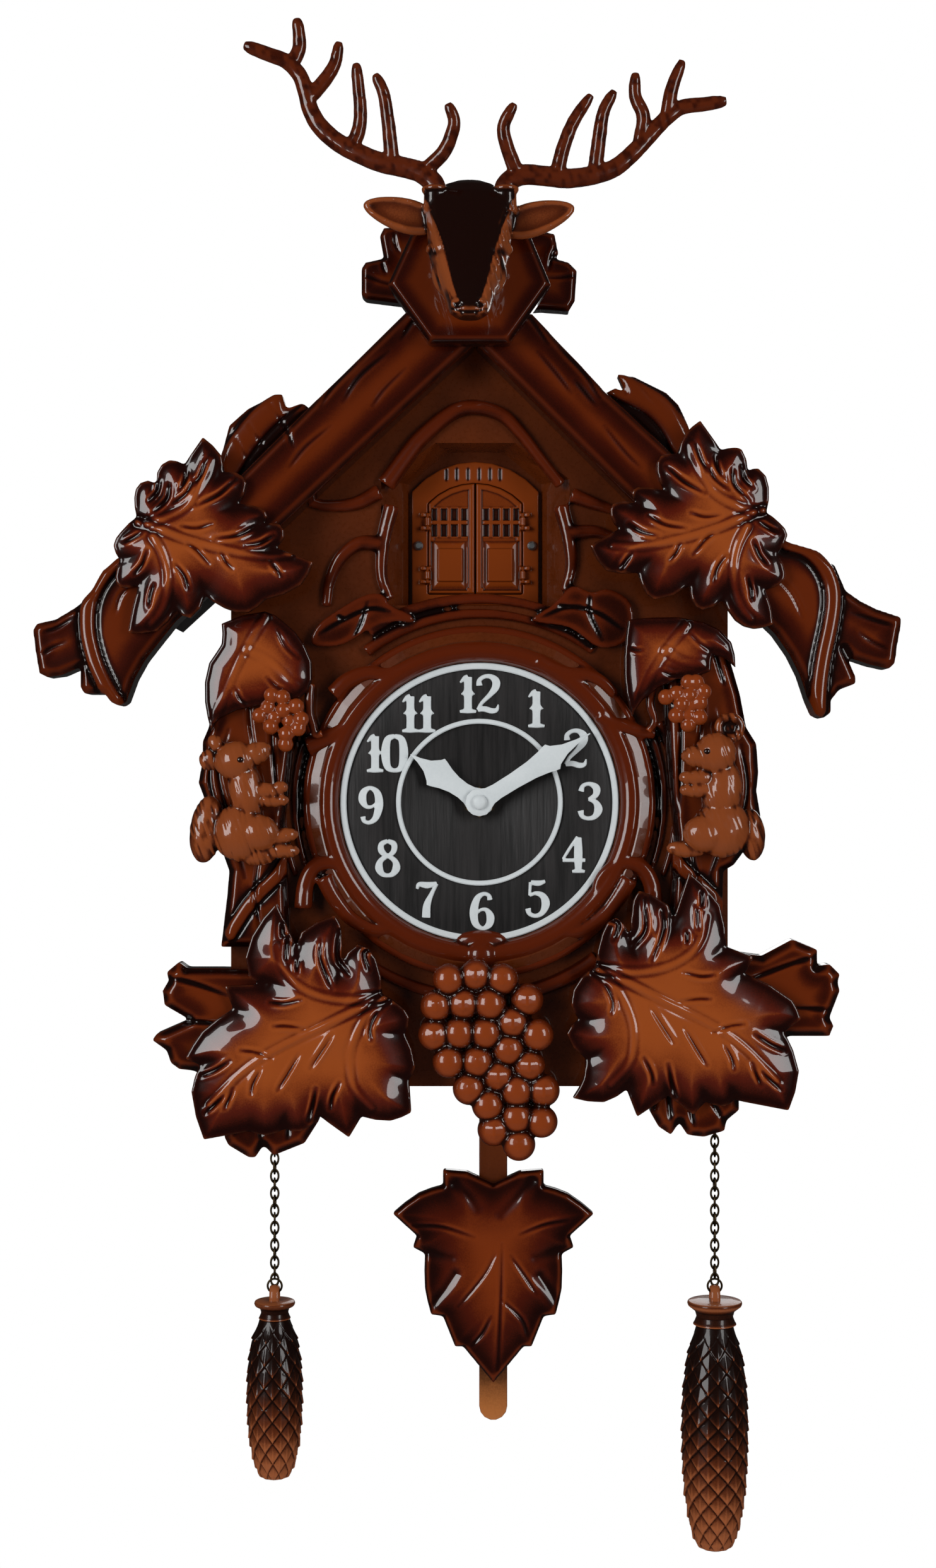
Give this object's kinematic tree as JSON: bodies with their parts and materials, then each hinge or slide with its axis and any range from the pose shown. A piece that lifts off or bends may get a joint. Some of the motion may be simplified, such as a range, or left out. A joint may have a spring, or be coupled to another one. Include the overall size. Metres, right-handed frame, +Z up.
{
  "type": "wall cuckoo clock",
  "caption": "Wall-hung cuckoo clock with a house-shaped case, vine leaf and stag head carvings, opening bird doors, round dial, swinging leaf pendulum and cone weights on chains.",
  "frame": {"origin": "the point of the keyhole slot in the case back where the wall screw's shank bears, on the wall plane", "axes": "+Z up, +Y into the wall, -Y the way the dial faces, +X to the right as seen from the front"},
  "size_m": [0.42, 0.1517, 0.7529],
  "materials": {
    "shell_brown": "gloss",
    "leaf_sunburst": "gloss",
    "carving_brown": "satin",
    "antler_brown": "gloss",
    "door_brown": "satin",
    "back_black": "matte",
    "dial_black": "matte wood grain",
    "dial_white": "satin",
    "screw_steel": "plated",
    "nut_brass": "plated",
    "chain_bronze": "dark bronze plated",
    "cone_brown": "gloss",
    "cell_wrap": "printed wrap, plain",
    "board_green": "matte",
    "speaker_black": "matte",
    "bird_cream": "satin"
  },
  "bodies": {
    "case": {"case_front": "shell_brown", "roof_beam_left": "shell_brown", "roof_beam_right": "shell_brown", "ridge_board": "shell_brown", "head_plaque": "shell_brown", "trunk_left": "shell_brown", "trunk_right": "shell_brown", "twig_left": "shell_brown", "twig_right": "shell_brown", "deer_head": "carving_brown", "antler_left": "antler_brown", "antler_right": "antler_brown", "leaf_upper_left": "leaf_sunburst", "leaf_upper_right": "leaf_sunburst", "leaf_lower_left": "leaf_sunburst", "leaf_lower_right": "leaf_sunburst", "leaf_small_left": "leaf_sunburst", "leaf_small_right": "leaf_sunburst", "squirrel_left": "carving_brown", "squirrel_right": "carving_brown", "grape_bunch": "carving_brown", "door_frame": "door_brown", "door_screw_left": "screw_steel", "door_screw_right": "screw_steel", "bird_motor": "back_black", "dial_plate": "dial_black", "dial_ring": "dial_white", "chapter_ring": "dial_white", "shaft_nut": "nut_brass", "movement": "back_black", "pendulum_drive": "back_black", "case_back": "back_black", "roof_panel_left": "back_black", "roof_panel_right": "back_black", "battery_box": "back_black", "battery_left": "cell_wrap", "battery_right": "cell_wrap", "sound_board": "board_green", "speaker": "speaker_black"},
    "minute_hand": {"minute_hand": "dial_white", "hand_cap": "dial_white"},
    "hour_hand": {"hour_hand": "dial_white"},
    "set_knob": {"set_knob": "back_black"},
    "door_left": {"door_left": "door_brown"},
    "door_right": {"door_right": "door_brown"},
    "bird": {"cuckoo_bird": "bird_cream", "bird_carriage": "back_black"},
    "pendulum": {"pendulum_rod": "shell_brown", "pendulum_leaf": "leaf_sunburst"},
    "chain_left": {"chain_left": "chain_bronze"},
    "chain_right": {"chain_right": "chain_bronze"},
    "weight_left": {"cone_cap_left": "cone_brown", "cone_left": "cone_brown"},
    "weight_right": {"cone_cap_right": "cone_brown", "cone_right": "cone_brown"},
    "battery_cover": {"battery_cover": "back_black"},
    "mode_switch": {"mode_switch": "back_black"},
    "volume_knob": {"volume_knob": "back_black"}
  },
  "joints": [
    {"name": "minute_hand_turn", "type": "hinge", "parent": "case", "child": "minute_hand", "pos_m": [0, -0.07, -0.1955], "axis": [0, 1, 0], "continuous": true},
    {"name": "hour_hand_turn", "type": "hinge", "parent": "case", "child": "hour_hand", "pos_m": [0, -0.068, -0.1955], "axis": [0, 1, 0], "continuous": true},
    {"name": "set_knob_turn", "type": "hinge", "parent": "case", "child": "set_knob", "pos_m": [0, -0.01, -0.1955], "axis": [0, 1, 0], "continuous": true},
    {"name": "door_left_swing", "type": "hinge", "parent": "case", "child": "door_left", "pos_m": [-0.0258, -0.0474, -0.065], "axis": [0, 0, -1], "range_deg": [0, 100]},
    {"name": "door_right_swing", "type": "hinge", "parent": "case", "child": "door_right", "pos_m": [0.0218, -0.0474, -0.065], "axis": [0, 0, 1], "range_deg": [0, 100]},
    {"name": "bird_slide", "type": "slide", "parent": "case", "child": "bird", "axis": [0, -1, 0], "range_m": [0, 0.03]},
    {"name": "pendulum_swing", "type": "hinge", "parent": "case", "child": "pendulum", "pos_m": [0.007, -0.044, -0.24], "axis": [0, 1, 0], "range_deg": [-6, 6]},
    {"name": "chain_left_swing", "type": "hinge", "parent": "case", "child": "chain_left", "pos_m": [-0.104, -0.022, -0.341], "axis": [0, 1, 0], "range_deg": [-25, 25]},
    {"name": "weight_left_swing", "type": "hinge", "parent": "chain_left", "child": "weight_left", "pos_m": [-0.104, -0.022, -0.44312], "axis": [0, 1, 0], "range_deg": [-30, 30]},
    {"name": "chain_right_swing", "type": "hinge", "parent": "case", "child": "chain_right", "pos_m": [0.12, -0.022, -0.341], "axis": [0, 1, 0], "range_deg": [-25, 25]},
    {"name": "weight_right_swing", "type": "hinge", "parent": "chain_right", "child": "weight_right", "pos_m": [0.12, -0.022, -0.44312], "axis": [0, 1, 0], "range_deg": [-30, 30]},
    {"name": "battery_cover_pull", "type": "slide", "parent": "case", "child": "battery_cover", "axis": [0, 1, 0], "range_m": [0, 0.025]},
    {"name": "mode_switch_slide", "type": "slide", "parent": "case", "child": "mode_switch", "axis": [1, 0, 0], "range_m": [0, 0.005]},
    {"name": "volume_knob_turn", "type": "hinge", "parent": "case", "child": "volume_knob", "pos_m": [0.089, -0.008, -0.15], "axis": [0, 1, 0], "range_deg": [0, 270]}
  ],
  "couplings": [
    {"joint": "hour_hand_turn", "follows": "minute_hand_turn", "ratio": 0.083333},
    {"joint": "set_knob_turn", "follows": "minute_hand_turn", "ratio": 1},
    {"joint": "door_right_swing", "follows": "door_left_swing", "ratio": 1},
    {"joint": "bird_slide", "follows": "door_left_swing", "m_per_rad": 0.0171}
  ]
}
